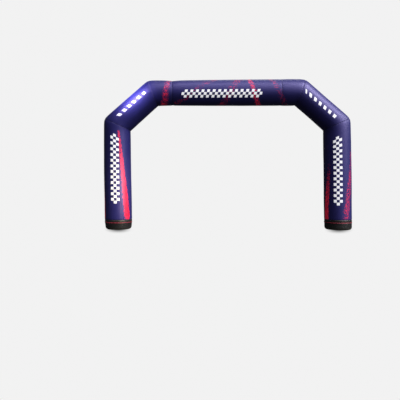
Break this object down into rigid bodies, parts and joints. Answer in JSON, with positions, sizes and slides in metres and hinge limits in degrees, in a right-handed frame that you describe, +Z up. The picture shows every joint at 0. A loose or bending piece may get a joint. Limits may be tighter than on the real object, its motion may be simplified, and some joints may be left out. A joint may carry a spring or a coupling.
{
  "type": "inflatable arch",
  "caption": "Free-standing inflatable event arch: round air-filled cloth tube with upright legs, slanted shoulders and a level beam over a wide passage, on flat black soles.",
  "frame": {"origin": "middle of the arch's width and depth, on the ground between the feet", "axes": "+X across the width to the right foot as seen from the front, -Y out of the printed front, +Z up"},
  "size_m": [8.2076, 0.9064, 4.9575],
  "materials": {
    "printed_cloth": "coated polyester, printed navy with dark red speckled streaks, satin sheen",
    "collar_cloth": "black coated cloth band, satin",
    "sole_cloth": "heavy black coated cloth, satin",
    "piping_cord": "dark red covered cord, matt"
  },
  "bodies": {
    "root": {"leg_left": "printed_cloth", "shoulder_left": "printed_cloth", "beam_left": "printed_cloth", "beam_centre": "printed_cloth", "beam_right": "printed_cloth", "shoulder_right": "printed_cloth", "leg_right": "printed_cloth", "collar_left": "collar_cloth", "collar_right": "collar_cloth", "foot_left": "sole_cloth", "foot_right": "sole_cloth", "piping_left": "piping_cord", "piping_right": "piping_cord"}
  },
  "joints": []
}
